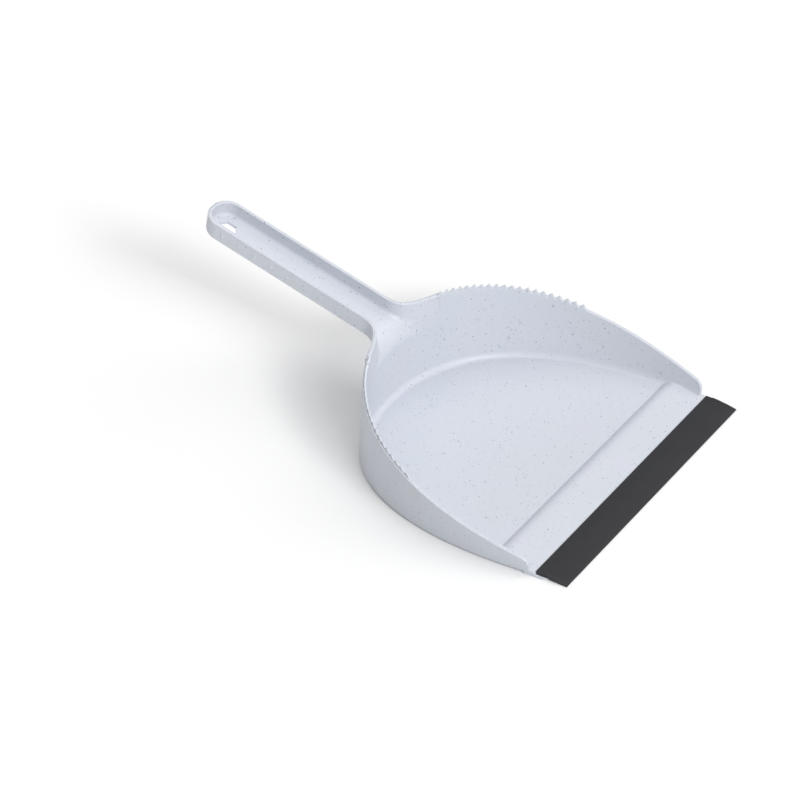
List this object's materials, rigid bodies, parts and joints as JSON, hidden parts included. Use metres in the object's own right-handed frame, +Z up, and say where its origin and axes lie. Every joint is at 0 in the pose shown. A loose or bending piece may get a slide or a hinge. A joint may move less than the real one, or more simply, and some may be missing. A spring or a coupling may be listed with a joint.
{
  "type": "dustpan",
  "caption": "D-shaped moulded dustpan with an open-channel handle, comb teeth on the rear rim, a stepped front ramp and a flexible lip along the mouth.",
  "frame": {"origin": "on the ground under the middle of the overall length and width", "axes": "+Y from the mouth towards the handle, +Z up, X across the mouth"},
  "size_m": [0.232, 0.3314, 0.1056],
  "materials": {
    "pan": "smooth, slightly glossy, pale blue-grey with fine dark and pinkish flecks",
    "rubber_lip": "satin black"
  },
  "bodies": {
    "root": {"pan": "pan", "rubber_lip": "rubber_lip"}
  },
  "joints": []
}
